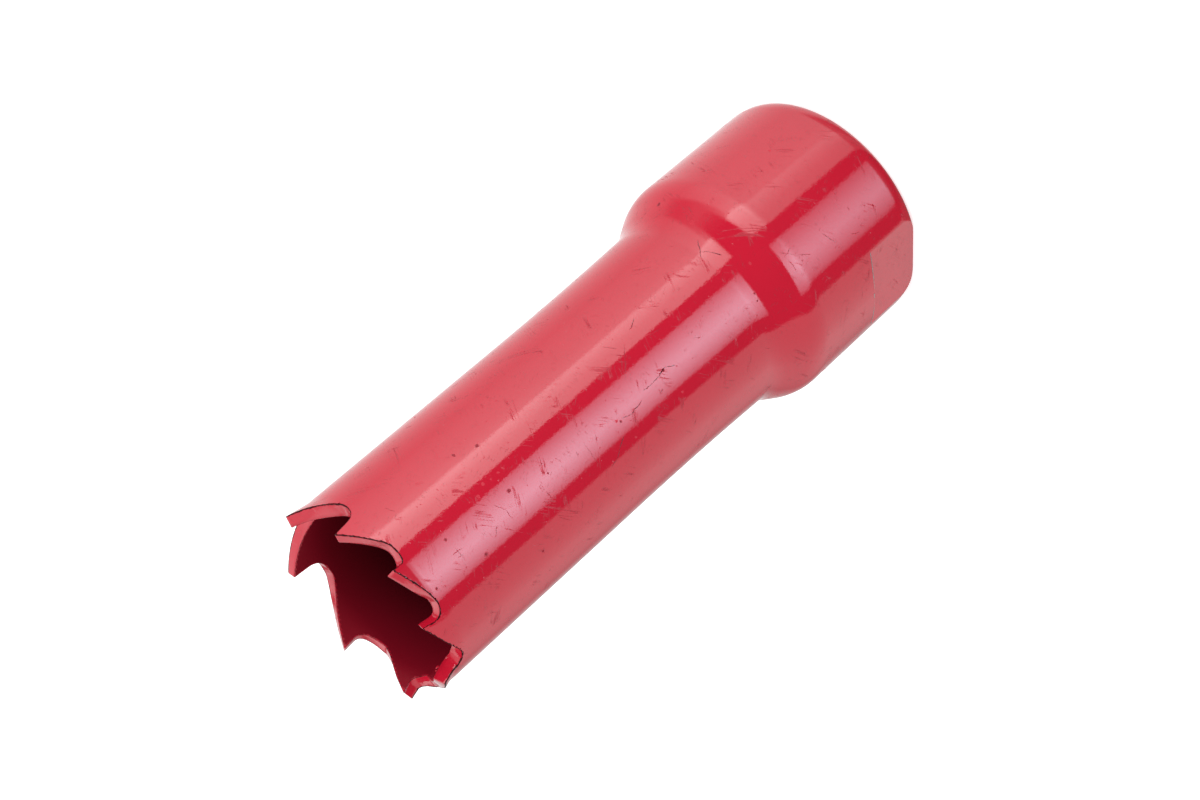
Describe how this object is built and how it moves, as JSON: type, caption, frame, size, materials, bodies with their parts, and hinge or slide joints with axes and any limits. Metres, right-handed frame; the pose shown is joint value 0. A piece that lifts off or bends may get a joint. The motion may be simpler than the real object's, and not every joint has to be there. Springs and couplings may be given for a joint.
{
  "type": "bimetal hole saw",
  "caption": "Small-diameter bimetal hole saw: a toothed steel tube with a wider head that holds a threaded cap for an arbor, painted gloss red.",
  "frame": {"origin": "centre of the back face of the head, on the saw's axis", "axes": "+Z along the saw's axis from the head to the teeth; the wrench flats face +Y and -Y"},
  "size_m": [0.02, 0.02, 0.0532],
  "materials": {
    "red_enamel": "gloss",
    "cap_steel": "gloss"
  },
  "bodies": {
    "root": {"saw_shell": "red_enamel", "tooth_edge": "red_enamel", "threaded_cap": "cap_steel"}
  },
  "joints": []
}
